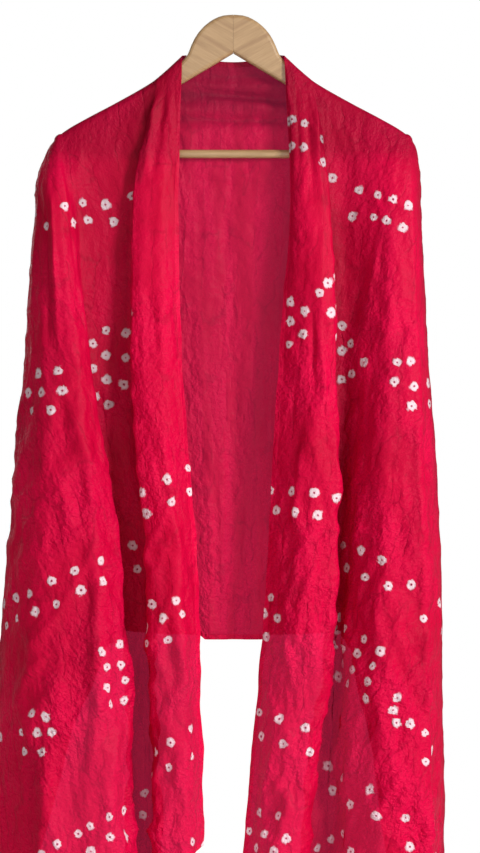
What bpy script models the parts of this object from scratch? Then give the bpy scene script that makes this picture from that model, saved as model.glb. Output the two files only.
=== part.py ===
"""A bandhani cloth hung like an open shawl on a plain wooden clothes hanger.

The middle of the long sheet hangs behind the hanger. Both ends come over the arms and fall down
the front. Beyond the tip of each arm the cloth has nothing under it, so a quarter turn of it
hangs from the tip in radiating folds. The sheet is lofted from fall lines: each starts on the
crest over an arm, rolls over the wood and runs down to the hem.

The front faces -Y, the cloth's right in front view is +X, and z = 0 is the top of the hanger.
"""

import math
from collections import namedtuple

import bmesh
import bpy

MM = 0.001

# Hanger, in millimetres
ARM_THICK = 12.0
ARM_ROUND = 4.5
SEAM_GAP = 0.3
SEAM_REACH = 0.2
BAR_DIAMETER = 10.5
BAR_Z = -174.0
BAR_END = 212.0
BORE_GAP = 0.35
HOOK_HOLE = 4.0
HOOK_HOLE_DEPTH = 22.0

# One half of the hanger's outline, from the middle out to the tip
Outline = namedtuple("Outline", "out z")
ARM_TOP = (
    Outline(0, 0),
    Outline(12, -1),
    Outline(24, -5.5),
    Outline(36, -14),
    Outline(46, -25.5),
    Outline(53, -39),
    Outline(57, -49),
    Outline(62, -56),
    Outline(72, -64.5),
    Outline(91, -79),
    Outline(110, -91.5),
    Outline(150, -114),
    Outline(184, -132),
    Outline(209, -146.5),
    Outline(218, -154),
    Outline(222, -165),
)
ARM_BOTTOM = (
    Outline(222, -177),
    Outline(218, -185),
    Outline(211, -187.5),
    Outline(203, -184),
    Outline(196, -172),
    Outline(184, -161),
    Outline(150, -140),
    Outline(110, -114.5),
    Outline(68, -89),
    Outline(0, -48.5),
)

# Cloth, in millimetres
CLOTH_THICK = 2.0
HALF_LENGTH = 1250.0
CREST_GAP = 2.0
NECK_RISE = 5.0
NECK_RISE_END = 100.0
WRAP = 9.2
ROLL = WRAP * math.pi / 2
NECK_OUT = 64.0
TIP_OUT = 215.0
BACK_TOP_Z = -58.0
BACK_TOP_LIFT = 9.0
BACK_HEM_Z = -782.0
TIP_S = 214.0

# Heights at which the fold tables give a distance out from the middle
UPPER_Z = -231.5
MIDDLE_Z = -419.0
LOWER_Z = -731.5
BOTTOM_Z = -1048.0
END_Z = -1400.0
LEVELS = (UPPER_Z, MIDDLE_Z, LOWER_Z, BOTTOM_Z)
FRONT_GROWTH = (0.36, 0.62, 1.0, 1.2, 1.28)
CASCADE_GROWTH = (0.03, 0.4, 1.0, 1.35, 1.6)
CONE_SHARES = (0.14, 0.46, 1.0, 1.2)
END_SPREAD = 0.5

# Folds of each front fall, from its inner edge to the outline: where the fall line crosses the
# arm, its distance out at the four levels, and how far it stands forward at the lower level
Fold = namedtuple("Fold", "name crest upper middle lower bottom depth start_s")
LEFT_FOLDS = (
    Fold("inner edge", NECK_OUT, 68, 64, 43, 38, -24, 236),
    Fold("band crest", 72, 94, 92, 70, 60, -52, 240),
    Fold("band turn", 88, 124, 126, 104, 92, -40, 236),
    Fold("valley", 130, 140, 145, 117, 107, 6, 186),
    Fold("valley side", 174, 174, 164, 127, 117, -14, 196),
    Fold("ridge turn", TIP_OUT, 206, 180, 138, 124, -46, 214),
    Fold("ridge crest", TIP_OUT, 218, 198, 170, 154, -76, 214),
    Fold("ridge side", TIP_OUT, 229, 228, 226, 226, -72, 214),
    Fold("outer strip", TIP_OUT, 239, 248, 266, 280, -40, 214),
    Fold("outline", TIP_OUT, 246, 258.5, 286, 302, 0, 214),
)
RIGHT_FOLDS = (
    Fold("inner edge", NECK_OUT, 71, 57, 40, 13, -20, 236),
    Fold("flap", 67, 77, 82, 64, 38, -44, 240),
    Fold("band crest", 76, 96, 106, 91, 66, -60, 245),
    Fold("band turn", 94, 118, 126, 121, 84, -46, 230),
    Fold("valley", 135, 138, 138, 131, 116, 4, 190),
    Fold("ridge turn", 172, 175, 170, 153, 150, -36, 196),
    Fold("ridge crest", 200, 198, 196, 190, 192, -62, 206),
    Fold("outer ridge", TIP_OUT, 221, 228, 238, 240, -54, 214),
    Fold("outline", TIP_OUT, 232, 243, 260, 262, 0, 214),
)

# Folds of the cascade behind each outline, given at the lower level
BackFold = namedtuple("BackFold", "name inside depth")
LEFT_CASCADE = (
    BackFold("first out", 12, 50),
    BackFold("first in", 40, 10),
    BackFold("second out", 64, 96),
    BackFold("second in", 90, 6),
    BackFold("third out", 112, 90),
    BackFold("third in", 136, 8),
)
RIGHT_CASCADE = (
    BackFold("first out", 10, 52),
    BackFold("first in", 34, 8),
    BackFold("second out", 56, 98),
    BackFold("second in", 78, 6),
    BackFold("third out", 96, 84),
    BackFold("third in", 114, 10),
)

# Where the fall lines of the back panel end up, as shares of their place on the arm
PANEL_NARROWING = 0.66
PANEL_DEPTHS = (10.0, 4.0, 9.0, 3.0, 8.0)
PANEL_TIP_DEPTH = 24.0
TIP_SWELL = 6.0
TIP_SWELL_REACH = 75.0
NECK_FOLD_DEPTH = 5.0
NECK_FOLD_PITCH = 30.0
NECK_FOLD_REACH = 90.0

# Share of the quarter turn that shows in front of the outline
FRONT_SHARE = {"left": 0.3, "right": 0.22}

# Mesh steps: columns between two folds, and rows along a fall line after the roll
FRONT_STEPS = 3
CASCADE_STEPS = 3
CENTRE_STEPS = 4
WRAP_ROWS = 3
ROWS = (0.02, 0.045, 0.075, 0.11, 0.16, 0.23, 0.31, 0.4, 0.5, 0.61, 0.73, 0.86, 1.0)

# Materials: colour, roughness
CLOTH_RED = (0.62, 0.012, 0.045, 1.0)
WOOD_LIGHT = (0.52, 0.34, 0.2, 1.0)
WOOD_BAR = (0.54, 0.3, 0.17, 1.0)


def ease(xs, ys, x):
    """Monotone cubic curve through the points, so a fold never swings past its crest."""
    if x <= xs[0]:
        return ys[0]
    if x >= xs[-1]:
        return ys[-1]
    slopes = [(ys[i + 1] - ys[i]) / (xs[i + 1] - xs[i]) for i in range(len(xs) - 1)]
    tangents = [slopes[0]]
    for before, after in zip(slopes, slopes[1:]):
        tangents.append(2 * before * after / (before + after) if before * after > 0 else 0.0)
    tangents.append(slopes[-1])
    i = max(k for k in range(len(xs) - 1) if xs[k] <= x)
    span = xs[i + 1] - xs[i]
    f = (x - xs[i]) / span
    return (
        ys[i] * (1 + 2 * f) * (1 - f) ** 2
        + ys[i + 1] * f * f * (3 - 2 * f)
        + tangents[i] * span * f * (1 - f) ** 2
        - tangents[i + 1] * span * f * f * (1 - f)
    )


def arm_top(out):
    return ease([p.out for p in ARM_TOP], [p.z for p in ARM_TOP], out)


def crest_z(out):
    """Height of the cloth's middle surface where it crosses the arm."""
    rise = NECK_RISE * max(0.0, 1 - (out - NECK_OUT) / (NECK_RISE_END - NECK_OUT))
    return arm_top(out) + CREST_GAP + rise


Line = namedtuple("Line", "crest turn share outs depth slack length rolled key")


def spread(stations, steps):
    """Columns between stations, each a tuple of values eased from fold to fold."""
    index = list(range(len(stations)))
    columns = []
    for k in range((len(stations) - 1) * steps + 1):
        x = k / steps
        columns.append([ease(index, [s[v] for s in stations], x) for v in range(len(stations[0]))])
    return columns


def cone(outline_outs, inside):
    """Distances out at the levels, for a line that runs straight from the arm's tip."""
    tip_z = crest_z(TIP_OUT)
    share = [(z - tip_z) / (LOWER_Z - tip_z) for z in LEVELS]
    return [out - inside * part for out, part in zip(outline_outs, share)]


def half_lines(folds, cascade, side):
    """Fall lines of one half of the cloth, from the front's inner edge to the back's middle."""
    on_arm = [f for f in folds if f.crest < TIP_OUT]
    first_tip = len(on_arm)
    tip_z = crest_z(TIP_OUT)
    front_reach = HALF_LENGTH - TIP_S
    back_reach = tip_z - BACK_HEM_Z
    lines = []

    # Front fall: lines that cross the arm, and the first one on its tip
    front = [(f.crest, f.upper, f.middle, f.lower, f.bottom, f.depth, f.start_s)
             for f in folds[:first_tip + 1]]
    columns = spread(front, FRONT_STEPS)
    for number, (crest, *outs, depth, start_s) in enumerate(columns):
        key = f"{side} crest {number}"
        length = HALF_LENGTH - start_s
        lines.append(Line((crest, crest_z(crest)), -90.0, 0.0, outs, depth, 0.0, length, True,
                          key))
    crests = [line.crest[0] for line in lines]
    tip_key = lines[-1].key

    # Quarter turn: lines that all hang from the tip
    outline = folds[-1]
    outline_outs = (outline.upper, outline.middle, outline.lower, outline.bottom)
    stations = []
    turned = folds[first_tip:]
    for number, fold in enumerate(turned):
        share = number / (len(turned) - 1)
        stations.append((fold.upper, fold.middle, fold.lower, fold.bottom, fold.depth, 0.0,
                         -90 + 90 * share, FRONT_SHARE[side] * share))
    for number, fold in enumerate(cascade, 1):
        share = number / (len(cascade) + 1)
        stations.append((*cone(outline_outs, fold.inside), fold.depth, 1.0,
                         90 * share, FRONT_SHARE[side] + (1 - FRONT_SHARE[side]) * share))
    pulled_in = TIP_OUT * (1 - PANEL_NARROWING)
    stations.append((*[TIP_OUT - pulled_in * share for share in CONE_SHARES],
                     PANEL_TIP_DEPTH, 1.0, 90, 1.0))
    for *outs, depth, slack, turn, share in spread(stations, CASCADE_STEPS)[1:]:
        angle = share * math.pi / 2
        to_end = front_reach / max(math.cos(angle), 1e-6)
        to_hem = back_reach / max(math.sin(angle), 1e-6)
        lines.append(Line((TIP_OUT, tip_z), turn, share, outs, depth, slack, min(to_end, to_hem),
                          True, tip_key))

    # Back panel: the same crests again, from the tip in to the neck, then the free top edge
    tip_outs = lines[-1].outs
    tip_depth = lines[-1].depth
    for number in range(len(crests) - 2, -1, -1):
        crest = crests[number]
        share = crest / TIP_OUT
        outs = [out * share for out in tip_outs]
        depth = panel_depth(share, tip_depth)
        z = crest_z(crest)
        lines.append(Line((crest, z), 90.0, 1.0, outs, depth, share, z - BACK_HEM_Z, True,
                          f"{side} crest {number}"))
    for number in range(CENTRE_STEPS - 1, -1 if side == "left" else 0, -1):
        part_way = number / (CENTRE_STEPS - 1)
        crest = (NECK_OUT - WRAP) * part_way
        share = crest / TIP_OUT
        outs = [out * share for out in tip_outs]
        depth = panel_depth(share, tip_depth)
        top_z = BACK_TOP_Z + BACK_TOP_LIFT * part_way ** 2
        lines.append(Line((crest, top_z), 90.0, 1.0, outs, depth, share, top_z - BACK_HEM_Z,
                          False, f"{side} centre {number}"))
    return lines


def panel_depth(share, tip_depth):
    """How far back the panel stands, in soft upright folds that join the cascade."""
    waves = list(PANEL_DEPTHS) + [tip_depth]
    return ease([k / (len(waves) - 1) for k in range(len(waves))], waves, share)


def fall_point(line, drop):
    """Point of a fall line, in millimetres with x out from the middle, at a drop along it."""
    crest_out, start_z = line.crest
    turn = math.radians(line.turn)
    foot_z = start_z - WRAP if line.rolled else start_z
    foot_out = crest_out + WRAP * math.cos(turn)
    below = drop - ROLL if line.rolled else drop
    if below < 0:
        angle = drop / WRAP
        reach = WRAP * math.sin(angle)
        z = start_z - WRAP * (1 - math.cos(angle))
        return crest_out + reach * math.cos(turn), reach * math.sin(turn), z
    levels = [foot_z, *LEVELS, END_Z]
    last = line.outs[-1] + (line.outs[-1] - line.outs[-2]) * END_SPREAD
    outs = [foot_out, *line.outs, last]
    growth = [0.0, *[a + (b - a) * line.slack for a, b in zip(FRONT_GROWTH, CASCADE_GROWTH)]]
    tilt = math.hypot(line.outs[2] - foot_out, line.depth) / (foot_z - LOWER_Z)
    z = foot_z - below / math.sqrt(1 + tilt * tilt)
    down = [-level for level in levels]
    out = ease(down, outs, -z)
    y = WRAP * math.sin(turn) + line.depth * ease(down, growth, -z)
    if line.crest[0] == TIP_OUT:
        out += TIP_SWELL * math.sin(math.pi * line.share) * tip_bulge(z, foot_z)
    if line.turn == 90.0:
        y += neck_fold(z)
    return out, y, z


def tip_bulge(z, foot_z):
    """Swell of the cloth just below the arm's tip, 1 at its fullest."""
    share = min(1.0, max(0.0, (foot_z - z) / TIP_SWELL_REACH))
    return math.sin(math.pi * share ** 0.6)


def neck_fold(z):
    """Soft level folds where the panel bunches behind the neck."""
    below = BACK_TOP_Z - z
    if not 0 < below < NECK_FOLD_REACH:
        return 0.0
    fade = math.sin(math.pi * below / NECK_FOLD_REACH)
    return NECK_FOLD_DEPTH * fade * (1 - math.cos(2 * math.pi * below / NECK_FOLD_PITCH)) / 2


def drops(line):
    """Distances along a fall line at which the mesh has a row."""
    rows = [ROLL * k / WRAP_ROWS for k in range(WRAP_ROWS + 1)]
    return rows + [ROLL + (line.length - ROLL) * share for share in ROWS]


def material(name, colour, roughness):
    made = bpy.data.materials.new(name)
    made.use_nodes = True
    shader = made.node_tree.nodes["Principled BSDF"]
    shader.inputs["Base Color"].default_value = colour
    shader.inputs["Roughness"].default_value = roughness
    return made


def add_object(name, mesh, made_of, home):
    body = bpy.data.objects.new(name, mesh)
    mesh.materials.append(made_of)
    home.objects.link(body)
    return body


def build_cloth(home):
    left = half_lines(LEFT_FOLDS, LEFT_CASCADE, "left")
    right = half_lines(RIGHT_FOLDS, RIGHT_CASCADE, "right")
    bm = bmesh.new()
    shared = {}
    columns = []
    for side, lines in ((-1, left), (1, list(reversed(right)))):
        for line in lines:
            column = []
            for row, drop in enumerate(drops(line)):
                key = line.key if row == 0 else (id(line), row)
                if key not in shared:
                    out, y, z = fall_point(line, drop)
                    shared[key] = bm.verts.new((side * out * MM, y * MM, z * MM))
                column.append(shared[key])
            columns.append(column)
    for first, second in zip(columns, columns[1:]):
        for row in range(len(first) - 1):
            corners = [first[row], first[row + 1], second[row + 1], second[row]]
            distinct = list(dict.fromkeys(corners))
            if len(distinct) > 2:
                bm.faces.new(distinct)
    bmesh.ops.recalc_face_normals(bm, faces=bm.faces)
    mesh = bpy.data.meshes.new("cloth")
    bm.to_mesh(mesh)
    bm.free()
    mesh.shade_smooth()
    body = add_object("cloth", mesh, material("dyed cloth", CLOTH_RED, 0.7), home)
    shell = body.modifiers.new("thickness", "SOLIDIFY")
    shell.thickness = CLOTH_THICK * MM
    shell.offset = 0.0
    return body


def outline_points():
    """One half of the hanger's outline, clockwise from the top of the seam."""
    outs = [p.out for p in ARM_TOP]
    zs = [p.z for p in ARM_TOP]
    points = []
    for first, second in zip(outs, outs[1:]):
        points.append((first, ease(outs, zs, first)))
        middle = (first + second) / 2
        points.append((middle, ease(outs, zs, middle)))
    points.append((outs[-1], zs[-1]))
    points += [(p.out, p.z) for p in ARM_BOTTOM]
    return [(max(out, SEAM_GAP / 2), z) for out, z in points]


def build_arm(name, side, made_of, home, cutters):
    bm = bmesh.new()
    half = ARM_THICK / 2
    verts = [bm.verts.new((side * out * MM, -half * MM, z * MM)) for out, z in outline_points()]
    face = bm.faces.new(verts)
    pushed = bmesh.ops.extrude_face_region(bm, geom=[face])["geom"]
    moved = [v for v in pushed if isinstance(v, bmesh.types.BMVert)]
    bmesh.ops.translate(bm, verts=moved, vec=(0, ARM_THICK * MM, 0))
    bmesh.ops.recalc_face_normals(bm, faces=bm.faces)
    rims = [e for e in bm.edges
            if abs(e.verts[0].co.y - e.verts[1].co.y) < MM
            and not all(abs(v.co.x) < SEAM_REACH * MM for v in e.verts)]
    bmesh.ops.bevel(bm, geom=rims, offset=ARM_ROUND * MM, segments=3, profile=0.5,
                    affect="EDGES", clamp_overlap=True, material=-1)
    bmesh.ops.remove_doubles(bm, verts=bm.verts, dist=0.00001)
    mesh = bpy.data.meshes.new(name)
    bm.to_mesh(mesh)
    bm.free()
    body = add_object(name, mesh, made_of, home)
    for cutter in cutters:
        cut = body.modifiers.new(cutter.name, "BOOLEAN")
        cut.operation = "DIFFERENCE"
        cut.object = cutter
    return body


def cylinder(name, diameter, length, location, rotation, home, sides):
    bpy.ops.mesh.primitive_cylinder_add(
        vertices=sides, radius=diameter / 2 * MM, depth=length * MM,
        location=[v * MM for v in location], rotation=rotation)
    body = bpy.context.object
    body.name = name
    for old in list(body.users_collection):
        old.objects.unlink(body)
    home.objects.link(body)
    return body


def main():
    for old in list(bpy.data.objects):
        bpy.data.objects.remove(old, do_unlink=True)
    parts = bpy.data.collections.new("bandhani cloth on hanger")
    tools = bpy.data.collections.new("cutters")
    for home in (parts, tools):
        bpy.context.scene.collection.children.link(home)

    along_x = (0, math.pi / 2, 0)
    bore = cylinder("bar bore", BAR_DIAMETER + 2 * BORE_GAP, 2 * (BAR_END + BORE_GAP),
                    (0, 0, BAR_Z), along_x, tools, 24)
    hook = cylinder("hook hole", HOOK_HOLE, 2 * HOOK_HOLE_DEPTH, (0, 0, 0), (0, 0, 0), tools, 16)
    for cutter in (bore, hook):
        cutter.hide_render = True
        cutter.display_type = "WIRE"

    wood = material("beech", WOOD_LIGHT, 0.5)
    build_arm("arm_left", -1, wood, parts, (bore, hook))
    build_arm("arm_right", 1, wood, parts, (bore, hook))
    bar = cylinder("bar", BAR_DIAMETER, 2 * BAR_END, (0, 0, BAR_Z), along_x, parts, 24)
    bar.data.materials.append(material("bar wood", WOOD_BAR, 0.5))
    bar.data.shade_smooth()
    build_cloth(parts)


main()
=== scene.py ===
"""Looks of a bandhani cloth hung like an open shawl on a flat wooden clothes hanger.

The sheet is lofted from fall lines, as its solid is, with finer steps, creases and crinkles.
Its tie-dyed rings lie in the flat cloth's own coordinates, so they follow every fold.
"""
import math
import random
from collections import namedtuple

import bmesh
import bpy
import numpy as np
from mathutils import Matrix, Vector, noise


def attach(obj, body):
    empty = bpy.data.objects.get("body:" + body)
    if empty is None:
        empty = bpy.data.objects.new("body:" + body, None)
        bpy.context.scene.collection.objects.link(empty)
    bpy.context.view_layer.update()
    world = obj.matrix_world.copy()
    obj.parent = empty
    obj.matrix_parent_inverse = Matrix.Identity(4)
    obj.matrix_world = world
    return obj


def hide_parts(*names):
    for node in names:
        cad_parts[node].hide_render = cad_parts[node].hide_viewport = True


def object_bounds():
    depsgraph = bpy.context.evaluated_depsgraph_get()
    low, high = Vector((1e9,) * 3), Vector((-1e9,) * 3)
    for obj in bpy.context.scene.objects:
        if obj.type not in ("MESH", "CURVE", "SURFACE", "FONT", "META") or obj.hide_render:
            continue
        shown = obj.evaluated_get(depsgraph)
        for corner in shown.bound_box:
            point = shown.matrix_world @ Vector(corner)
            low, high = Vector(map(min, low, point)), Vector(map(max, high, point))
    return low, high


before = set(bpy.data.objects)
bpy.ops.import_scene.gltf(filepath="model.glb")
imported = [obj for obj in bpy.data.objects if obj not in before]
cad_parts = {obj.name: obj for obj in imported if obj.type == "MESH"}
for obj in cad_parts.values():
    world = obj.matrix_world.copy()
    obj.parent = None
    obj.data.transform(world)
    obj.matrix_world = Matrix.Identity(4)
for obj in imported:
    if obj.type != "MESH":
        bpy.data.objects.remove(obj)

bl_info = {
    "name": "Bandhani cloth on a hanger",
    "version": (1, 0, 0),
    "blender": (4, 5, 0),
    "location": "View3D > Sidebar > Bandhani",
    "description": "Drapes a tie-dyed cloth over a wooden clothes hanger and finishes both",
    "category": "Object",
}

MM = 0.001

# Glue in the seam between the arms, in millimetres
GLUE_WIDTH = 0.36
GLUE_DEPTH = 10.0
GLUE_HEIGHT = 45.0
GLUE_MIDDLE_Z = -24.0
CAD_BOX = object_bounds()

# Hanger outline, from the middle out to the tip, in millimetres
Outline = namedtuple("Outline", "out z")
ARM_TOP = [Outline(*point) for point in (
    (0, 0), (12, -1), (24, -5.5), (36, -14), (46, -25.5), (53, -39),
    (57, -49), (62, -56), (72, -64.5), (91, -79), (110, -91.5), (150, -114),
    (184, -132), (209, -146.5), (218, -154), (222, -165),
)]

# Drape, in millimetres
CREST_GAP = 2.0
NECK_RISE = 5.0
NECK_RISE_END = 100.0
WRAP = 9.2
ROLL = WRAP * math.pi / 2
NECK_OUT = 64.0
TIP_OUT = 215.0
BACK_TOP_Z = -58.0
BACK_TOP_LIFT = 9.0
BACK_HEM_Z = -782.0
TIP_S = 214.0

# Heights at which the fold tables give a distance out from the middle
UPPER_Z = -231.5
MIDDLE_Z = -419.0
LOWER_Z = -731.5
BOTTOM_Z = -1048.0
END_Z = -1400.0
LEVELS = (UPPER_Z, MIDDLE_Z, LOWER_Z, BOTTOM_Z)
LOWER_DROP = 583.0
FRONT_GROWTH = (0.36, 0.62, 1.0, 1.2, 1.28)
CASCADE_GROWTH = (0.03, 0.4, 1.0, 1.35, 1.6)
CONE_SHARES = (0.14, 0.46, 1.0, 1.2)
END_SPREAD = 0.5

# Folds of each front fall, from its inner edge to the outline. After the sizes that its solid
# has come the fall line's place in the flat cloth: start_s along it, t across it at the lower
# level, and pace, the flat length that each millimetre of drop takes up
Fold = namedtuple("Fold", "name crest upper middle lower bottom depth start_s t pace")
LEFT_FOLDS = (
    Fold("inner edge", 64, 68, 64, 43, 38, -24, 262, 0, 0.94),
    Fold("band crest", 72, 94, 92, 70, 60, -52, 256, 34, 0.94),
    Fold("band turn", 88, 124, 126, 104, 92, -40, 246, 70, 0.95),
    Fold("band tuck", 106, 115, 116, 95, 85, -12, 216, 94, 0.98),
    Fold("valley", 132, 140, 145, 117, 107, 6, 186, 118, 1.0),
    Fold("ridge tuck", 176, 188, 187, 149, 133, -12, 200, 160, 1.0),
    Fold("ridge turn", 215, 206, 180, 138, 124, -46, 214, 184, 1.0),
    Fold("ridge crest", 215, 218, 198, 170, 154, -76, 214, 218, 0.99),
    Fold("ridge side", 215, 229, 228, 226, 226, -72, 214, 272, 0.95),
    Fold("outer strip", 215, 239, 248, 266, 280, -40, 214, 322, 0.92),
    Fold("outline", 215, 246, 258.5, 286, 302, 0, 214, 362, 0.9),
)
RIGHT_FOLDS = (
    Fold("inner edge", 64, 71, 57, 40, 13, -20, 236, 0, 0.94),
    Fold("flap", 67, 77, 82, 64, 38, -44, 238, 30, 0.94),
    Fold("band crest", 76, 96, 106, 91, 66, -60, 240, 58, 0.94),
    Fold("band turn", 94, 118, 126, 121, 84, -46, 230, 90, 0.97),
    Fold("band tuck", 112, 109, 114, 109, 76, -14, 208, 110, 0.99),
    Fold("valley", 137, 138, 138, 131, 116, 4, 190, 130, 1.0),
    Fold("ridge turn", 172, 175, 170, 153, 150, -36, 196, 168, 1.0),
    Fold("ridge crest", 200, 198, 196, 190, 192, -62, 206, 205, 0.98),
    Fold("outer ridge", 215, 221, 228, 238, 240, -54, 214, 238, 0.91),
    Fold("outline", 215, 232, 243, 260, 262, 0, 214, 275, 0.89),
)

# Folds of the cascade behind each outline, given at the lower level
BackFold = namedtuple("BackFold", "name inside depth")
LEFT_CASCADE = (
    BackFold("first out", 12, 50),
    BackFold("first in", 40, 10),
    BackFold("second out", 64, 96),
    BackFold("second in", 90, 6),
    BackFold("third out", 112, 90),
    BackFold("third in", 136, 8),
)
RIGHT_CASCADE = (
    BackFold("first out", 10, 52),
    BackFold("first in", 34, 8),
    BackFold("second out", 56, 98),
    BackFold("second in", 78, 6),
    BackFold("third out", 96, 84),
    BackFold("third in", 114, 10),
)

# Back panel
PANEL_NARROWING = 0.66
PANEL_DEPTHS = (10.0, 4.0, 9.0, 3.0, 8.0)
PANEL_TIP_DEPTH = 24.0
TIP_SWELL = 6.0
TIP_SWELL_REACH = 75.0
NECK_FOLD_DEPTH = 7.0
NECK_FOLD_PITCH = 30.0
NECK_FOLD_REACH = 90.0
FRONT_SHARE = {"left": 0.3, "right": 0.22}

# Mesh steps of the visible sheet
FOLD_STEPS = 10
CASCADE_STEPS = 5
CENTRE_STEPS = 12
WRAP_ROWS = 4
DROP_ROWS = 205

# Creases of each layer, seen from the front: where they start and end, half their width and how
# far they stand towards the front, a trough being negative
Crease = namedtuple("Crease", "x z end_x end_z width rise")
CREASES = {
    "left": (
        (-92, -75, -110, -196, 5, 5), (-83, -86, -100, -206, 6, -5), (-75, -64, -69, -169, 5, -4),
        (-78, -169, -65, -394, 7, -5), (-109, -214, -115, -356, 7, 3), (-104, -344, -92, -419, 6, -4),
        (-72, -406, -59, -582, 7, 4), (-104, -506, -77, -632, 7, -5), (-69, -632, -64, -782, 6, 4),
        (-85, -682, -72, -856, 8, -5), (-224, -232, -215, -414, 5, 6), (-233, -238, -227, -419, 6, -5),
        (-239, -194, -250, -394, 5, 3), (-219, -172, -194, -356, 7, 4), (-207, -250, -187, -394, 6, -3),
        (-217, -456, -198, -569, 7, -4), (-202, -482, -173, -569, 6, 4), (-223, -569, -192, -649, 5, 4),
        (-212, -589, -179, -666, 5, 4), (-193, -544, -177, -632, 5, -4), (-184, -564, -168, -616, 4, 3),
        (-168, -696, -165, -864, 6, 7), (-177, -713, -177, -856, 6, -5), (-192, -732, -204, -844, 7, -4),
        (-214, -756, -198, -844, 5, 4), (-254, -732, -264, -856, 8, 4), (-223, -906, -234, -1048, 6, 7),
        (-242, -925, -248, -1048, 7, -6), (-217, -856, -177, -909, 5, 4), (-172, -856, -183, -936, 5, -5),
        (-182, -936, -167, -1048, 6, 5), (-142, -875, -157, -982, 6, 5), (-132, -900, -114, -1013, 5, -4),
        (-204, -944, -189, -1032, 6, -4), (-267, -844, -274, -982, 7, 4), (-279, -906, -254, -969, 5, 3),
        (-69, -769, -52, -888, 5, 5), (-58, -726, -43, -844, 5, -4), (-89, -844, -59, -982, 6, 4),
        (-44, -882, -54, -982, 5, 4), (-79, -944, -44, -1044, 5, -4), (-104, -982, -79, -1048, 5, 4),
    ),
    "right": (
        (102, -100, 106, -192, 5, 5), (106, -189, 112, -249, 5, 4), (91, -106, 100, -238, 6, -4),
        (78, -94, 83, -194, 5, -3), (111, -269, 107, -394, 5, 3), (106, -394, 116, -506, 5, 4),
        (98, -356, 100, -482, 7, -4), (121, -513, 126, -632, 4, 6), (125, -632, 116, -782, 5, 5),
        (111, -582, 105, -732, 7, -4), (86, -532, 78, -636, 5, 4), (103, -663, 83, -732, 5, 4),
        (71, -632, 66, -732, 7, -4), (93, -744, 103, -856, 5, 4), (78, -782, 71, -882, 6, -4),
        (190, -246, 161, -396, 9, 4), (173, -282, 148, -394, 8, -4), (146, -144, 161, -206, 5, 4),
        (161, -132, 148, -196, 4, -3), (133, -144, 148, -196, 5, 3), (208, -375, 231, -413, 5, 3),
        (198, -356, 213, -422, 5, -3), (226, -506, 230, -682, 5, 5), (237, -519, 242, -682, 6, -5),
        (230, -682, 236, -856, 6, 4), (246, -682, 258, -794, 5, 4), (208, -582, 223, -682, 7, 3),
        (238, -856, 246, -982, 6, -4), (213, -944, 243, -982, 5, 4), (223, -982, 256, -1048, 5, 5),
        (251, -856, 256, -982, 5, 3), (202, -782, 206, -906, 9, -3), (48, -782, 41, -906, 6, 4),
        (61, -794, 78, -882, 5, -4), (53, -913, 36, -982, 5, 4), (71, -956, 53, -1032, 5, 4),
        (83, -913, 71, -982, 5, -4), (108, -856, 91, -882, 5, 4), (140, -606, 148, -732, 9, -3),
        (153, -782, 146, -906, 9, 3), (83, -1006, 103, -1048, 5, 4),
    ),
    "panel": (
        (-65, -72, 66, -82, 7, -5), (-68, -89, 71, -108, 5, -8), (-67, -100, 68, -119, 6, 6),
        (-65, -128, 70, -133, 4, -6), (-63, -64, 21, -62, 5, 3), (-64, -204, 8, -214, 4, -3),
        (-62, -232, -9, -224, 3, -2), (-59, -256, -14, -268, 4, -3), (-35, -102, -47, -149, 3, -2),
        (-44, -219, -37, -394, 4, -3), (-27, -356, -34, -532, 5, -3), (-9, -232, -14, -394, 4, -3),
        (8, -394, 3, -569, 5, -3), (23, -232, 36, -394, 5, -3), (38, -406, 31, -569, 5, 3),
        (-47, -506, -32, -582, 4, -3), (-14, -519, -12, -782, 5, 4), (-22, -569, -20, -756, 4, -3),
        (8, -606, 12, -756, 4, -3), (23, -582, 21, -732, 4, -2), (-42, -710, 36, -716, 4, -3),
        (-37, -732, 36, -735, 4, -3), (-35, -754, 36, -748, 3, 3), (-38, -773, 36, -768, 3, 4),
    ),
}

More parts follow.
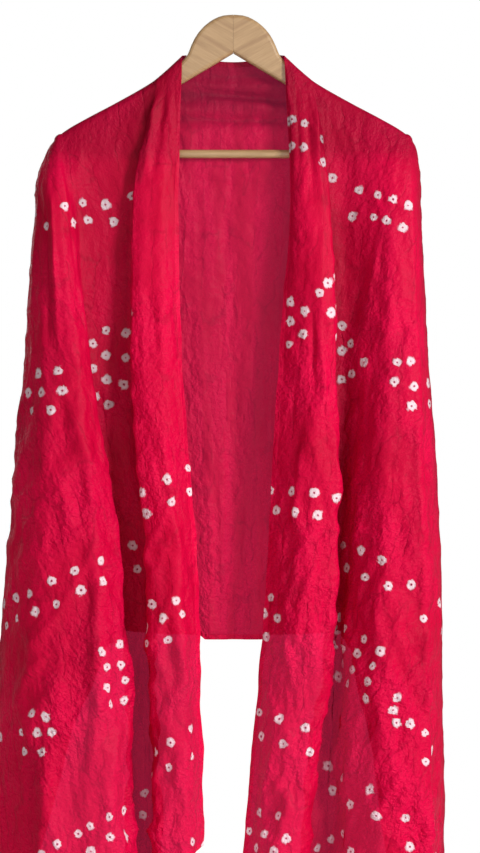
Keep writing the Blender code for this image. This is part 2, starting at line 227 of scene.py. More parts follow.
# Shade of each layer beside the edges of pleats: where the edge starts and ends, how far the
# shade reaches, to the left where negative, and the light left at the edge
Shade = namedtuple("Shade", "x z end_x end_z reach tone")
SHADES = {
    "left": (
        (-93, -69, -103, -144, -16, 0.62), (-103, -144, -114, -213, -15, 0.66), (-227, -213, -220, -356, -38, 0.76),
        (-220, -356, -213, -422, -32, 0.8), (-213, -422, -229, -569, -42, 0.8), (-127, -232, -132, -394, -9, 0.78),
        (-132, -394, -119, -569, -12, 0.84), (-119, -569, -104, -756, -10, 0.9), (-168, -704, -165, -864, -20, 0.76),
        (-227, -900, -234, -1048, -32, 0.74), (-165, -864, -182, -936, -15, 0.8), (-72, -394, -57, -582, 12, 0.84),
        (-67, -782, -52, -888, -10, 0.82), (-132, -900, -114, -1013, -11, 0.84), (-204, -732, -217, -856, -15, 0.86),
        (-84, -682, -72, -856, -11, 0.86), (-242, -756, -259, -856, -20, 0.86),
    ),
    "right": (
        (75, -64, 85, -182, -12, 0.74), (85, -182, 82, -294, -10, 0.8), (82, -294, 92, -419, -18, 0.9),
        (92, -419, 83, -582, -18, 0.92), (103, -104, 110, -242, 9, 0.72), (122, -242, 127, -394, 18, 0.78),
        (127, -394, 131, -569, 20, 0.74), (131, -569, 121, -732, 15, 0.8), (227, -513, 231, -682, -15, 0.8),
        (231, -682, 236, -856, -15, 0.84), (111, -756, 91, -875, 11, 0.84), (83, -682, 66, -806, -12, 0.84),
        (193, -238, 153, -406, 25, 0.84), (213, -394, 203, -569, -20, 0.86),
    ),
    "panel": (
        (-72, -92, 74, -107, -15, 0.66), (-72, -126, 74, -131, -11, 0.66), (-40, -74, 50, -72, -6, 0.8),
        (79, -180, 76, -419, -20, 0.76), (76, -419, 60, -640, -18, 0.8),
    ),
}

# Crumples: how wide and how tall they are, their lean in degrees, and how far the sheet moves
# in the upper part of the falls, in their lower part and in the back panel
Crumple = namedtuple("Crumple", "wide tall lean upper lower panel sharp")
CRUMPLES = (
    Crumple(50, 150, 0, 1.6, 4.5, 1.2, False),
    Crumple(38, 130, 20, 1.0, 5.0, 0.8, True),
    Crumple(30, 90, -30, 0.8, 4.0, 1.0, True),
    Crumple(12, 34, 12, 1.2, 2.2, 1.5, True),
    Crumple(40, 13, 0, 0.2, 0.6, 0.9, True),
)
CRUMPLE_FROM_Z = -380.0
CRUMPLE_TO_Z = -820.0
EDGE_CALM = 0.25
EDGE_CALM_REACH = 40.0
EDGE_WAVE = 3.0
EDGE_WAVE_LENGTH = 52.0
EDGE_WAVE_REACH = 45.0
OUTLINE_T = {"left": 362.0, "right": 275.0}
OUTLINE_REACH = 55.0

# Share of the light that the folds' hollows, the back panel and its lower part, its top behind
# the neck and the shoulders over the arms get
HOLLOW_TONE = 0.72
HOLLOW_Y = -6.0
OPEN_Y = -34.0
PANEL_TONE = 0.66
PANEL_LOW_TONE = 0.86
PANEL_LOW_Z = (-450.0, -740.0)
NECK_TONE = 0.5
NECK_TONE_Z = (-95.0, -150.0)
SHOULDER_TONE = 0.8
SHOULDER_TONE_Z = (-165.0, -190.0)

# Tie-dyed rings in the flat cloth, s from its middle with the left half negative, t across it:
# double lines, and clusters of one, seven or sixteen, turned in degrees; past the falls the
# clusters follow in rows
DoubleLine = namedtuple("DoubleLine", "s apart first pitch stagger lean")
DOUBLE_LINES = (
    DoubleLine(-329, -21, 109, 26, 18, 0.2),
    DoubleLine(-752, -28, 5, 29, -3, 0.0),
    DoubleLine(-1048, -27, 18, 26, 3, -0.1),
    DoubleLine(320, 32, 10, 28, -11, -0.1),
    DoubleLine(752, 26, 2, 28, 8, -0.03),
    DoubleLine(1012, 25, 8, 30, 5, 0.14),
)
Cluster = namedtuple("Cluster", "s t count pitch turn")
CLUSTERS = (
    Cluster(-221, 98, 1, 0, 0),
    Cluster(-525, 241, 7, 26, 12),
    Cluster(-527, 128, 16, 23, 45),
    Cluster(-922, 314, 7, 25, 8),
    Cluster(-892, 182, 16, 23, 3),
    Cluster(-908, 50, 7, 24, 20),
    Cluster(556, 14, 7, 27, 0),
    Cluster(513, 110, 16, 23, 45),
    Cluster(513, 230, 7, 22, 0),
    Cluster(898, -5, 7, 27, 30),
    Cluster(882, 158, 16, 22, -14),
    Cluster(917, 224, 7, 19, 30),
    Cluster(1146, 32, 7, 24, 30),
)
ClusterRow = namedtuple("ClusterRow", "s first apart seven_first")
CLUSTER_ROWS = (
    ClusterRow(-528, 358, 119, False),
    ClusterRow(-905, 436, 119, False),
    ClusterRow(-1203, 20, 122, True),
    ClusterRow(520, 350, 119, False),
    ClusterRow(905, 345, 119, False),
    ClusterRow(1150, 154, 122, False),
)
SQUARE_PITCH = 23.0
SEVEN_PITCH = 27.0
RING_RADIUS = 6.3
HEM_WIDTH = 7.0
RING_SIZES = (0.88, 1.18)
RING_JITTER = 2.0
LEAN_REACH = 160.0
SEED = 7

# Patterns of the cloth's material, in metres: the rag of a ring's rim, patches of dye, and the
# crush, whose facets have a lean, a width and a height and are bent out of line
RIM_RAG = 0.006
DYE_PATCH = 0.12
Facet = namedtuple("Facet", "lean wide tall")
TROUGH_FACET = Facet(0.1, 0.024, 0.085)
RIDGE_FACET = Facet(-0.35, 0.011, 0.026)
BEND_SIZE = 0.03
BEND_REACH = (0.016, 0.04, 0.0)
GRIT_SIZE = 0.007
CRUSH_Z = (-0.85, -0.25)

# Shares of the light that come through the threads, between them, and between them at the hem
GLOW_SHARE = 0.25
OPEN_SHARE = 0.25
HEM_OPEN_SHARE = 0.08


def ease(xs, ys, x):
    """Monotone cubic curve through the points, so a fold never swings past its crest."""
    xs = np.asarray(xs, float)
    ys = np.asarray(ys, float)
    slopes = np.diff(ys) / np.diff(xs)
    before, after = slopes[:-1], slopes[1:]
    total = np.where(before * after > 0, before + after, 1.0)
    inner = np.where(before * after > 0, 2 * before * after / total, 0.0)
    tangents = np.concatenate((slopes[:1], inner, slopes[-1:]))
    x = np.clip(x, xs[0], xs[-1])
    i = np.clip(np.searchsorted(xs, x, side="right") - 1, 0, len(xs) - 2)
    span = xs[i + 1] - xs[i]
    f = (x - xs[i]) / span
    return (
        ys[i] * (1 + 2 * f) * (1 - f) ** 2
        + ys[i + 1] * f * f * (3 - 2 * f)
        + tangents[i] * span * f * (1 - f) ** 2
        - tangents[i + 1] * span * f * f * (1 - f)
    )


def crest_z(out):
    """Height of the cloth's middle surface where it crosses the arm."""
    rise = NECK_RISE * np.maximum(0.0, 1 - (out - NECK_OUT) / (NECK_RISE_END - NECK_OUT))
    top = ease([p.out for p in ARM_TOP], [p.z for p in ARM_TOP], out)
    return float(top + CREST_GAP + rise)


Line = namedtuple("Line", "crest turn share outs depth slack length rolled flat pace key")


def spread(stations, steps):
    """Columns between stations, each a tuple of values eased, with the steps of each gap."""
    index = np.arange(len(stations))
    at = [k + np.arange(count) / count for k, count in enumerate(steps)]
    at = np.concatenate((*at, [len(stations) - 1]))
    return np.transpose([ease(index, values, at) for values in zip(*stations)]).tolist()


def cone(outline_outs, inside):
    """Distances out at the levels, for a line that runs straight from the arm's tip."""
    tip_z = crest_z(TIP_OUT)
    share = [(z - tip_z) / (LOWER_Z - tip_z) for z in LEVELS]
    return [out - inside * part for out, part in zip(outline_outs, share)]


def panel_depth(share, tip_depth):
    """How far back the panel stands, in soft upright folds that join the cascade."""
    waves = list(PANEL_DEPTHS) + [tip_depth]
    return float(ease([k / (len(waves) - 1) for k in range(len(waves))], waves, share))


def half_lines(folds, cascade, side, half_length):
    """Fall lines of one half of the cloth, from the front's inner edge to the back's middle."""
    first_tip = sum(f.crest < TIP_OUT for f in folds)
    tip_z = crest_z(TIP_OUT)
    tip_t = folds[first_tip].t
    front_reach = half_length - TIP_S
    back_reach = tip_z - BACK_HEM_Z
    lines = []

    front = [(f.crest, f.upper, f.middle, f.lower, f.bottom, f.depth, f.start_s, f.t, f.pace)
             for f in folds[:first_tip + 1]]
    for number, values in enumerate(spread(front, [FOLD_STEPS] * first_tip)):
        crest, *outs, depth, start_s, t, pace = values
        lines.append(Line((crest, crest_z(crest)), -90.0, 0.0, outs, depth, 0.0,
                          half_length - start_s, True, (start_s, t), (pace, 0.0),
                          f"{side} crest {number}"))
    on_arm = list(lines)
    tip_key = lines[-1].key

    outline = folds[-1]
    outline_outs = (outline.upper, outline.middle, outline.lower, outline.bottom)
    outline_across = (outline.t - tip_t) / LOWER_DROP
    stations = []
    turned = folds[first_tip:]
    for number, fold in enumerate(turned):
        share = number / (len(turned) - 1)
        stations.append((fold.upper, fold.middle, fold.lower, fold.bottom, fold.depth, 0.0,
                         -90 + 90 * share, FRONT_SHARE[side] * share,
                         fold.pace, (fold.t - tip_t) / LOWER_DROP))
    for number, fold in enumerate(cascade, 1):
        share = number / (len(cascade) + 1)
        stations.append((*cone(outline_outs, fold.inside), fold.depth, 1.0,
                         90 * share, FRONT_SHARE[side] + (1 - FRONT_SHARE[side]) * share,
                         outline.pace * (1 - share),
                         outline_across + (1 - outline_across) * share))
    pulled_in = TIP_OUT * (1 - PANEL_NARROWING)
    stations.append((*[TIP_OUT - pulled_in * share for share in CONE_SHARES],
                     PANEL_TIP_DEPTH, 1.0, 90, 1.0, 0.0, 1.0))
    steps = [FOLD_STEPS] * (len(turned) - 1) + [CASCADE_STEPS] * (len(cascade) + 1)
    for *outs, depth, slack, turn, share, along, across in spread(stations, steps)[1:]:
        angle = share * math.pi / 2
        to_end = front_reach / max(math.cos(angle), 1e-6)
        to_hem = back_reach / max(math.sin(angle), 1e-6)
        lines.append(Line((TIP_OUT, tip_z), turn, share, outs, depth, slack,
                          min(to_end, to_hem), True, (TIP_S, tip_t), (along, across), tip_key))

    tip_outs, tip_depth = lines[-1].outs, lines[-1].depth
    for line in reversed(on_arm[:-1]):
        crest, z = line.crest
        share = crest / TIP_OUT
        lines.append(Line((crest, z), 90.0, 1.0, [out * share for out in tip_outs],
                          panel_depth(share, tip_depth), share, z - BACK_HEM_Z, True,
                          line.flat, (0.0, 1.0), line.key))
    for number in range(CENTRE_STEPS - 1, -1 if side == "left" else 0, -1):
        part_way = number / (CENTRE_STEPS - 1)
        crest = (NECK_OUT - WRAP) * part_way
        share = crest / TIP_OUT
        top_z = BACK_TOP_Z + BACK_TOP_LIFT * part_way ** 2
        lines.append(Line((crest, top_z), 90.0, 1.0, [out * share for out in tip_outs],
                          panel_depth(share, tip_depth), share, top_z - BACK_HEM_Z, False,
                          (on_arm[0].flat[0] * part_way, 0.0), (0.0, 1.0),
                          f"{side} centre {number}"))
    return lines


def neck_fold(z):
    """Soft level folds where the panel bunches behind the neck."""
    below = np.clip(BACK_TOP_Z - z, 0, NECK_FOLD_REACH)
    fade = np.sin(math.pi * below / NECK_FOLD_REACH)
    return NECK_FOLD_DEPTH * fade * (1 - np.cos(2 * math.pi * below / NECK_FOLD_PITCH)) / 2


def tip_bulge(z, foot_z):
    """Swell of the cloth just below the arm's tip, 1 at its fullest."""
    share = np.clip((foot_z - z) / TIP_SWELL_REACH, 0, 1)
    return np.sin(np.pi * share ** 0.6)


def fall_points(line, drop):
    """Points of a fall line, in millimetres with x out from the middle, at drops along it."""
    crest_out, start_z = line.crest
    turn = math.radians(line.turn)
    foot_z = start_z - WRAP if line.rolled else start_z
    foot_out = crest_out + WRAP * math.cos(turn)
    below = drop - ROLL if line.rolled else drop
    last = line.outs[-1] + (line.outs[-1] - line.outs[-2]) * END_SPREAD
    growth = [0.0, *[a + (b - a) * line.slack for a, b in zip(FRONT_GROWTH, CASCADE_GROWTH)]]
    tilt = math.hypot(line.outs[2] - foot_out, line.depth) / (foot_z - LOWER_Z)
    z = foot_z - below / math.sqrt(1 + tilt * tilt)
    down = [-level for level in (foot_z, *LEVELS, END_Z)]
    out = ease(down, [foot_out, *line.outs, last], -z)
    y = WRAP * math.sin(turn) + line.depth * ease(down, growth, -z)
    if line.crest[0] == TIP_OUT:
        out = out + TIP_SWELL * math.sin(math.pi * line.share) * tip_bulge(z, foot_z)
    if line.turn == 90.0:
        y = y + neck_fold(z)
    angle = np.clip(drop / WRAP, 0, math.pi / 2)
    rolling = (below < 0) & line.rolled
    out = np.where(rolling, crest_out + WRAP * np.sin(angle) * math.cos(turn), out)
    y = np.where(rolling, WRAP * np.sin(angle) * math.sin(turn), y)
    z = np.where(rolling, start_z - WRAP * (1 - np.cos(angle)), z)
    return np.stack((out, y, z), axis=-1)


def drops(line):
    """Distances along a fall line at which the sheet has a row."""
    roll = ROLL * np.arange(WRAP_ROWS) / WRAP_ROWS
    return np.concatenate((roll, ROLL + (line.length - ROLL) * np.linspace(0, 1, DROP_ROWS)))


def ring_centres(width, half_length):
    """Places of the tied rings in the flat cloth, as (s, t) in millimetres."""
    draw = random.Random(SEED)
    spots = []
    for line in DOUBLE_LINES:
        for second in (0, 1):
            t = line.first + second * line.stagger
            while t < width:
                lean = line.lean * min(t - line.first, LEAN_REACH)
                spots.append((line.s + second * line.apart + lean, t))
                t += line.pitch
    for made in CLUSTERS:
        spots += cluster(made)
    for row in CLUSTER_ROWS:
        t, seven = row.first, row.seven_first
        while t < width:
            count, pitch, turn = (7, SEVEN_PITCH, 0) if seven else (16, SQUARE_PITCH, 45)
            spots += cluster(Cluster(row.s, t, count, pitch, turn))
            t += row.apart
            seven = not seven
    centres = []
    for s, t in spots:
        s += draw.uniform(-RING_JITTER, RING_JITTER)
        t += draw.uniform(-RING_JITTER, RING_JITTER)
        if -RING_RADIUS < t < width and abs(s) < half_length:
            centres.append((s, t))
    return np.array(centres)


def cluster(made):
    """One cluster: a single ring, six rings round a seventh, or four rows of four."""
    spots = [(0.0, 0.0)]
    if made.count == 7:
        spots += [(made.pitch * math.cos(math.radians(60 * k)),
                   made.pitch * math.sin(math.radians(60 * k))) for k in range(6)]
    elif made.count == 16:
        places = [(k - 1.5) * made.pitch for k in range(4)]
        spots = [(a, b) for a in places for b in places]
    c, s = math.cos(math.radians(made.turn)), math.sin(math.radians(made.turn))
    return [(made.s + a * c - b * s, made.t + a * s + b * c) for a, b in spots]


def set_rings(centres, flats, points):
    """The rings that the cloth has room for: their places in the flat cloth and on the folds."""
    draw = random.Random(SEED + 1)
    kept = []
    for centre in centres:
        away = np.hypot(*(flats - centre).T)
        near = np.argmin(away)
        if away[near] < RING_RADIUS:
            kept.append((*centre, *points[near], RING_RADIUS * draw.uniform(*RING_SIZES)))
    return np.array(kept)


def crumple_rise(points, panel):
    """Height of the crumples at each point, in millimetres."""
    share = np.clip((points[:, 2] - CRUMPLE_FROM_Z) / (CRUMPLE_TO_Z - CRUMPLE_FROM_Z), 0, 1)
    total = np.zeros(len(points))
    for number, crumple in enumerate(CRUMPLES):
        lean = math.radians(crumple.lean)
        across = points[:, 0] * math.cos(lean) + points[:, 2] * math.sin(lean)
        along = points[:, 2] * math.cos(lean) - points[:, 0] * math.sin(lean)
        places = np.stack((across / crumple.wide, points[:, 1] / crumple.wide,
                           along / crumple.tall + 7.3 * number), axis=-1)
        drawn = np.array([noise.noise(place) for place in places.tolist()])
        if crumple.sharp:
            drawn = 1 - np.minimum(1, 3 * np.abs(drawn))
        reach = crumple.upper + (crumple.lower - crumple.upper) * share
        total += drawn * np.where(panel, crumple.panel, reach)
    return total


def edge_run(row):
    """Start of a crease or of a pleat's edge, and the way from there to its end."""
    start = np.array((row.x, row.z), float)
    return start, np.array((row.end_x, row.end_z), float) - start


def crease_rise(points, layer):
    """Height that the placed creases add, towards the front."""
    total = np.zeros(len(points))
    seen = points[:, (0, 2)]
    for crease in map(Crease._make, CREASES[layer]):
        start, run = edge_run(crease)
        share = np.clip(((seen - start) @ run) / (run @ run), 0, 1)
        away = np.linalg.norm(seen - start - share[:, None] * run, axis=1) / crease.width
        taper = np.sqrt(np.sin(np.pi * np.clip(share, 0.03, 0.97)))
        total += crease.rise * np.exp(-1.5 * away) * taper
    return total


def smooth(start, end, value):
    """0 before start, 1 after end and an even curve between."""
    share = np.clip((value - start) / (end - start), 0, 1)
    return share * share * (3 - 2 * share)


def pleat_shade(points, layer):
    """Share of the light left beside the edges of pleats."""
    total = np.ones(points.shape[:-1])
    seen = points[..., (0, 2)]
    for shade in map(Shade._make, SHADES[layer]):
        start, run = edge_run(shade)
        share = ((seen - start) @ run) / (run @ run)
        beside = ((seen - start) @ np.array((-run[1], run[0]))) / np.hypot(*run)
        away = beside / shade.reach
        depth = np.where(away > 0, np.exp(-np.maximum(away, 0) ** 1.5), 0)
        ends = smooth(-0.04, 0.06, share) * smooth(1.04, 0.94, share)
        total *= 1 - (1 - shade.tone) * depth * ends
    return total


def light_share(points, panel, side):
    """Share of the light that reaches each point between the folds."""
    y, z = points[..., 1], points[..., 2]
    front = HOLLOW_TONE + (1 - HOLLOW_TONE) * smooth(HOLLOW_Y, OPEN_Y, y)
    front *= SHOULDER_TONE + (1 - SHOULDER_TONE) * smooth(*SHOULDER_TONE_Z, z)
    front *= pleat_shade(points, side)
    back = PANEL_TONE + (PANEL_LOW_TONE - PANEL_TONE) * smooth(*PANEL_LOW_Z, z)
    back *= NECK_TONE + (1 - NECK_TONE) * smooth(*NECK_TONE_Z, z)
    back *= pleat_shade(points, "panel")
    return np.where(panel, back, front)


def side_grid(lines, side, sign):
    """Points, places and tones of one half's columns, each column down its rows."""
    points, flats, panel = [], [], []
    for line in lines:
        drop = drops(line)
        points.append(fall_points(line, drop) * (sign, 1, 1))
        flats.append((np.array(line.flat) + drop[:, None] * np.array(line.pace)) * (sign, 1))
        panel.append(np.full(len(drop), line.turn >= 0))
    points, flats, panel = np.array(points), np.array(flats), np.array(panel)
    normal = np.cross(np.gradient(points, axis=1), np.gradient(points, axis=0))
    normal *= sign / np.maximum(np.linalg.norm(normal, axis=-1, keepdims=True), 1e-6)
    light = light_share(points, panel, side)
    to_end = np.array([line.length - drops(line) for line in lines])
    from_hem = np.minimum(flats[..., 1], to_end)
    # Hung places are the height and the way across the folds, from the inner edge on the falls
    # and from the panel's middle behind them
    steps = np.linalg.norm(np.diff(points, axis=0), axis=-1)
    from_edge = np.concatenate((steps[:1] * 0, np.cumsum(steps, axis=0)))
    from_middle = from_edge[-1] - from_edge + np.abs(points[-1, :, 0])
    hung = np.stack((sign * np.where(panel, from_middle, from_edge), points[..., 2]), axis=-1)
    fade = smooth(0, 45, np.array([drops(line) for line in lines]) - ROLL)
    loose, behind = points.reshape(-1, 3), panel.reshape(-1)
    rise = crumple_rise(loose, behind)
    rise += np.where(behind, crease_rise(loose, "panel"), crease_rise(loose, side))
    # Towards the front on the falls and, on the panel, where its normal faces forward
    facing = np.where(panel, np.sign(-normal[..., 1]), 1.0)
    # Calmer where the crumples would show against the light, at the inner edge and the outline
    calm = EDGE_CALM + (1 - EDGE_CALM) * smooth(0, EDGE_CALM_REACH, flats[..., 1])
    turn = smooth(OUTLINE_REACH, 0, np.abs(flats[..., 1] - OUTLINE_T[side]))
    calm *= 1 - (1 - EDGE_CALM) * turn
    points = points + normal * (rise.reshape(fade.shape) * fade * facing * calm)[..., None]
    near = np.clip(1 - flats[..., 1] / EDGE_WAVE_REACH, 0, 1) * fade * ~panel
    low = np.clip(-points[..., 2] / 900, 0.15, 1)
    wave = np.array([noise.noise(Vector((sign, 0, z / EDGE_WAVE_LENGTH)))
                     for z in points[..., 2].reshape(-1)]).reshape(fade.shape)
    points[..., 0] += EDGE_WAVE * wave * near * low
    return points, flats, hung, light, from_hem


def sheet_columns(bm, halves, grids):
    """Vertices of the sheet with their places, column by column from left to right."""
    light_layer = bm.verts.layers.float.new("light")
    hem_layer = bm.verts.layers.float.new("from_hem")
    shared, columns = {}, []
    for side, lines in halves.items():
        points, flats, hung, light, from_hem = grids[side]
        made = []
        for number, line in enumerate(lines):
            column = []
            for row in range(points.shape[1]):
                key = (line.key, 0) if row == 0 else (side, number, row)
                if key not in shared:
                    shared[key] = bm.verts.new(points[number, row] * MM)
                    shared[key][light_layer] = light[number, row]
                    shared[key][hem_layer] = from_hem[number, row] * MM
                column.append((shared[key], (flats[number, row], hung[number, row])))
            made.append(column)
        columns += made if side == "left" else reversed(made)
    return columns


def sheet_faces(bm, columns, rings):
    """Faces between the columns; each corner has its flat and hung places and its nearest ring."""
    flat_layer = bm.loops.layers.uv.new("flat")
    hung_layer = bm.loops.layers.uv.new("hung")
    ring_layer = bm.loops.layers.float_vector.new("ring")
    for first, second in zip(columns, columns[1:]):
        for row in range(len(first) - 1):
            corners = (first[row], first[row + 1], second[row + 1], second[row])
            distinct = list(dict(corners).items())
            if len(distinct) < 3:
                continue
            face = bm.faces.new([vert for vert, places in distinct])
            face.smooth = True
            middle = sum(flat for vert, (flat, hung) in distinct) / len(distinct)
            near = rings[np.argmin(np.hypot(*(rings[:, :2] - middle).T))]
            for loop, (vert, (flat, hung)) in zip(face.loops, distinct):
                loop[flat_layer].uv = flat * MM
                loop[hung_layer].uv = hung * MM
                loop[ring_layer] = (np.array(vert.co) / MM - near[2:5]) / near[5]


def hex_colour(text):
    """Linear colour of an sRGB hex value."""
    values = [int(text[k:k + 2], 16) / 255 for k in (0, 2, 4)]
    return tuple(v / 12.92 if v <= 0.04045 else ((v + 0.055) / 1.055) ** 2.4 for v in values) + (1.0,)


def node(tree, kind, links=None, **settings):
    """Adds one shader node, with its settings, and links or values for its inputs."""
    made = tree.nodes.new(kind)
    for name, value in settings.items():
        setattr(made, name, value)
    for name, value in (links or {}).items():
        socket = made.inputs[name]
        if isinstance(value, bpy.types.NodeSocket):
            tree.links.new(value, socket)
        else:
            socket.default_value = value
    return made


def ramp(tree, factor, stops):
    """A colour ramp with (place, colour) stops."""
    made = node(tree, "ShaderNodeValToRGB", {"Fac": factor})
    line = made.color_ramp
    while len(line.elements) < len(stops):
        line.elements.new(0.5)
    for element, (place, colour) in zip(line.elements, stops):
        element.position = place
        element.color = colour
    return made.outputs["Color"]


def new_material(name):
    """A node-based material with an empty tree."""
    made = bpy.data.materials.new(name)
    made.use_nodes = True
    made.node_tree.nodes.clear()
    return made, made.node_tree


def calc(tree, operation, *values):
    """Result of a math node on sockets or numbers."""
    return node(tree, "ShaderNodeMath", dict(enumerate(values)), operation=operation).outputs[0]


def remap(tree, value, low, high, to_low=0.0, to_high=1.0, **settings):
    """The value taken from one range to another and held within its ends."""
    return node(tree, "ShaderNodeMapRange", {"Value": value, "From Min": low, "From Max": high,
                                             "To Min": to_low, "To Max": to_high},
                **settings).outputs["Result"]


def cloud(tree, place, size, detail, roughness=0.5):
    """Noise over a plane, with patches of about the size given in metres."""
    return node(tree, "ShaderNodeTexNoise", {"Vector": place, "Scale": 1 / size, "Detail": detail,
                                             "Roughness": roughness}, noise_dimensions="2D")


def lift(tree, height, strength, distance, **normal):
    """Normal of a surface that a height pattern lifts by a distance in metres."""
    return node(tree, "ShaderNodeBump", {"Height": height, "Strength": strength,
                                         "Distance": distance, **normal}).outputs[0]


def facets(tree, place, size, feature="F1"):
    """Cells of crushed cloth: distance from each one's middle, or from its sharp edge."""
    made = node(tree, "ShaderNodeMapping", {"Vector": place, "Rotation": (0, 0, size.lean),
                                            "Scale": (1.0, size.wide / size.tall, 1.0)})
    return node(tree, "ShaderNodeTexVoronoi", {"Vector": made.outputs[0], "Scale": 1 / size.wide},
                feature=feature, voronoi_dimensions="2D").outputs["Distance"]


def tied_rings(tree, flat, settings):
    """Where the rings are, and their stain: pale where the knot kept the dye out, with a dark
    speck in the middle and a ragged rim."""
    from_middle = node(tree, "ShaderNodeAttribute", attribute_name="ring").outputs["Vector"]
    radius = node(tree, "ShaderNodeVectorMath", {0: from_middle},
                  operation="LENGTH").outputs["Value"]
    wobble = cloud(tree, flat, RIM_RAG, 2.0).outputs["Fac"]
    shift = calc(tree, "MULTIPLY_ADD", wobble, 1.1, -0.55)
    ragged = calc(tree, "ADD", radius, shift)
    ring = ramp(tree, ragged, [(0.84, (1, 1, 1, 1)), (0.98, (0, 0, 0, 1))])
    nearer = calc(tree, "MULTIPLY_ADD", shift, 0.35, radius)
    stain = ramp(tree, nearer, [(0.07, hex_colour(settings.ring_speck)),
                                (0.15, hex_colour(settings.ring_pink)),
                                (0.27, hex_colour(settings.ring_pale)),
                                (0.68, hex_colour(settings.ring_pale)),
                                (0.95, hex_colour(settings.ring_pink))])
    return ring, stain


def crush(tree, hung, patches):
    """Height of crushed cloth: facets that meet in troughs, smaller ones that meet in ridges and
    soft grit, all deeper low down and in patches. Also its broken thin creases, 0 on a crease."""
    bend = cloud(tree, hung, BEND_SIZE, 2.0)
    bent = node(tree, "ShaderNodeVectorMath", {0: bend.outputs["Color"], 1: BEND_REACH, 2: hung},
                operation="MULTIPLY_ADD").outputs[0]
    trough = facets(tree, bent, TROUGH_FACET)
    ridge = facets(tree, bent, RIDGE_FACET)
    edge = facets(tree, bent, TROUGH_FACET, "DISTANCE_TO_EDGE")
    grit = cloud(tree, hung, GRIT_SIZE, 2.0, 0.65).outputs["Fac"]
    thin = remap(tree, edge, 0.0, 0.07, interpolation_type="SMOOTHSTEP")
    gap = remap(tree, bend.outputs["Fac"], 0.46, 0.56)
    creases = calc(tree, "MAXIMUM", thin, gap)
    facet = calc(tree, "MULTIPLY_ADD", ridge, 0.5, grit)
    rough = calc(tree, "SUBTRACT", facet, trough)
    lined = calc(tree, "MULTIPLY_ADD", creases, 0.1, rough)
    height = node(tree, "ShaderNodeSeparateXYZ", {"Vector": hung}).outputs["Y"]
    low_share = remap(tree, height, *CRUSH_Z, 1.0, 0.35)
    patch_share = remap(tree, patches, 0.4, 0.58, 0.45, 1.1)
    share = calc(tree, "MULTIPLY", low_share, patch_share)
    return calc(tree, "MULTIPLY", lined, share), creases


def dyed_cloth(settings):
    """Thin crushed silk, tie-dyed: a soft sheen, light coming through it, and an open weave."""
    made, tree = new_material("tie-dyed crushed silk")
    hung = node(tree, "ShaderNodeUVMap", uv_map="hung").outputs["UV"]
    flat = node(tree, "ShaderNodeUVMap", uv_map="flat").outputs["UV"]

    uneven = cloud(tree, flat, DYE_PATCH, 3.0, 0.55).outputs["Fac"]
    red = ramp(tree, uneven, [(0.3, hex_colour(settings.dark_red)),
                              (0.7, hex_colour(settings.light_red))])
    ring, stain = tied_rings(tree, flat, settings)
    dyed = node(tree, "ShaderNodeMix", {0: ring, 6: red, 7: stain}, data_type="RGBA").outputs[2]

    crushed, creases = crush(tree, hung, uneven)
    from_hem = node(tree, "ShaderNodeAttribute", attribute_name="from_hem").outputs["Fac"]
    hem = remap(tree, from_hem, HEM_WIDTH * MM, (HEM_WIDTH - 1) * MM)
    creased = lift(tree, crushed, 0.75, 0.0065)
    puckered = lift(tree, calc(tree, "MAXIMUM", ring, hem), 0.4, 0.0015, Normal=creased)
    # The weave is drawn at 1 mm, coarser than it is, so that it shows
    weave = node(tree, "ShaderNodeTexWave", {"Vector": flat, "Scale": 1 / 0.002,
                                             "Distortion": 1.0}, bands_direction="X")
    bump = lift(tree, weave.outputs["Fac"], 0.12, 0.0004, Normal=puckered)

    # Painted shade: the share of light stored on the sheet (lower in hollows, beside pleats, behind the neck and
    # over the arms) and a darkening along the thin creases are multiplied into the dye colour
    light = node(tree, "ShaderNodeAttribute", attribute_name="light").outputs["Fac"]
    crease_shade = remap(tree, creases, 0.0, 1.0, 0.82, 1.0)
    shade = calc(tree, "MULTIPLY", light, crease_shade)
    colour = node(tree, "ShaderNodeMix", {0: 1.0, 6: dyed, 7: shade}, data_type="RGBA",
                  blend_type="MULTIPLY").outputs[2]
    body = node(tree, "ShaderNodeBsdfPrincipled", {
        "Base Color": colour, "Roughness": 0.5, "Specular IOR Level": 0.1,
        "Sheen Weight": 0.03, "Sheen Roughness": 0.35, "Sheen Tint": hex_colour("ff6a88"),
        "Normal": bump})
    through = node(tree, "ShaderNodeBsdfTranslucent", {"Color": colour, "Normal": bump})
    lit = node(tree, "ShaderNodeMixShader", {0: GLOW_SHARE, 1: body.outputs[0],
                                             2: through.outputs[0]})
    gaps = node(tree, "ShaderNodeBsdfTransparent", {"Color": hex_colour(settings.seen_through)})
    # The turned hem is two layers thick, so that less shows through it
    open_share = remap(tree, hem, 0.0, 1.0, OPEN_SHARE, HEM_OPEN_SHARE)
    sheer = node(tree, "ShaderNodeMixShader", {0: open_share, 1: lit.outputs[0],
                                               2: gaps.outputs[0]})
    node(tree, "ShaderNodeOutputMaterial", {"Surface": sheer.outputs[0]})
    return made


def plain_finish(name, colour, roughness, specular):
    """A material of one colour, given as an sRGB hex value."""
    made, tree = new_material(name)
    body = node(tree, "ShaderNodeBsdfPrincipled", {
        "Base Color": hex_colour(colour), "Roughness": roughness, "Specular IOR Level": specular})
    node(tree, "ShaderNodeOutputMaterial", {"Surface": body.outputs[0]})
    return made


def add_piece(bm, name, finish):
    """An object with the mesh and its material, linked into the scene; frees the bmesh."""
    mesh = bpy.data.meshes.new(name)
    bm.to_mesh(mesh)
    bm.free()
    mesh.materials.append(finish)
    piece = bpy.data.objects.new(name, mesh)
    bpy.context.scene.collection.objects.link(piece)
    return piece


